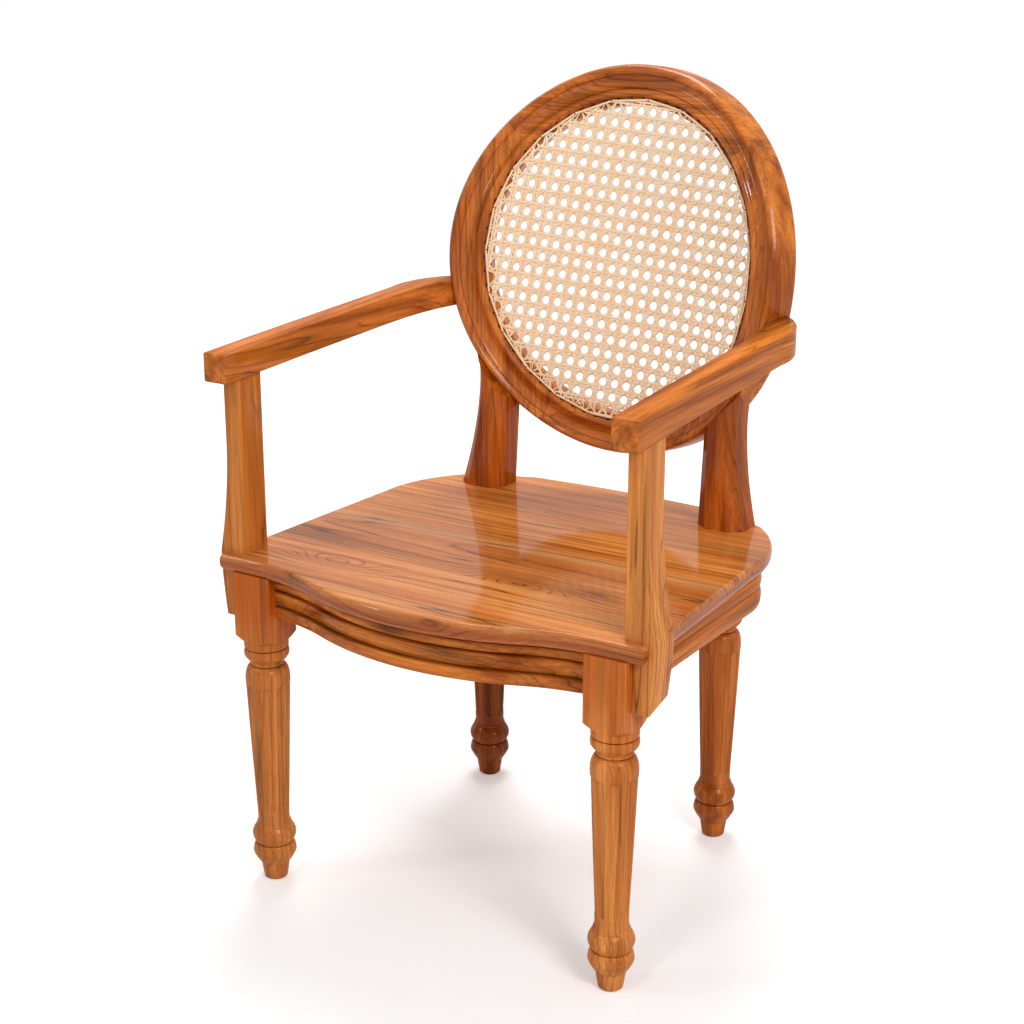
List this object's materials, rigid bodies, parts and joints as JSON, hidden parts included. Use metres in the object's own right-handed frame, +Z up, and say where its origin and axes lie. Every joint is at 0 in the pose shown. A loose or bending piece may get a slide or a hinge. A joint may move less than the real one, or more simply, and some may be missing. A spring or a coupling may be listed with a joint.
{
  "type": "cane armchair",
  "caption": "Teak armchair with turned fluted legs, a plank seat on a reeded frame with a bowed front, shaped arms and a round barrel-curved back of woven cane.",
  "frame": {"origin": "on the floor under the middle of the chair's box", "axes": "+Z up, -Y is the front that the sitter faces, +X is to the right seen from the front"},
  "size_m": [0.6216, 0.6148, 1.0283],
  "materials": {
    "teak": "glossy lacquer over teak grain",
    "cane": "satin woven cane strand",
    "dowel_wood": "plain turned hardwood",
    "screw_steel": "plain zinc-coated steel"
  },
  "bodies": {
    "root": {"front_leg_left": "teak", "rear_leg_left": "teak", "side_apron_left": "teak", "corner_block_front_left": "teak", "corner_block_rear_left": "teak", "arm_left": "teak", "arm_support_left": "teak", "back_post_left": "teak", "back_ring_left": "teak", "front_leg_right": "teak", "rear_leg_right": "teak", "side_apron_right": "teak", "corner_block_front_right": "teak", "corner_block_rear_right": "teak", "arm_right": "teak", "arm_support_right": "teak", "back_post_right": "teak", "back_ring_right": "teak", "front_apron": "teak", "rear_apron": "teak", "seat_plank_front": "teak", "seat_plank_second": "teak", "seat_plank_third": "teak", "seat_plank_rear": "teak", "back_ring_top": "teak", "back_ring_bottom": "teak", "cane_panel": "cane", "cane_border": "cane", "apron_dowels": "dowel_wood", "support_dowels": "dowel_wood", "arm_dowels": "dowel_wood", "post_dowels": "dowel_wood", "post_ring_dowels": "dowel_wood", "arm_ring_dowels": "dowel_wood", "ring_dowels": "dowel_wood", "corner_screws": "screw_steel", "seat_screws": "screw_steel"}
  },
  "joints": []
}
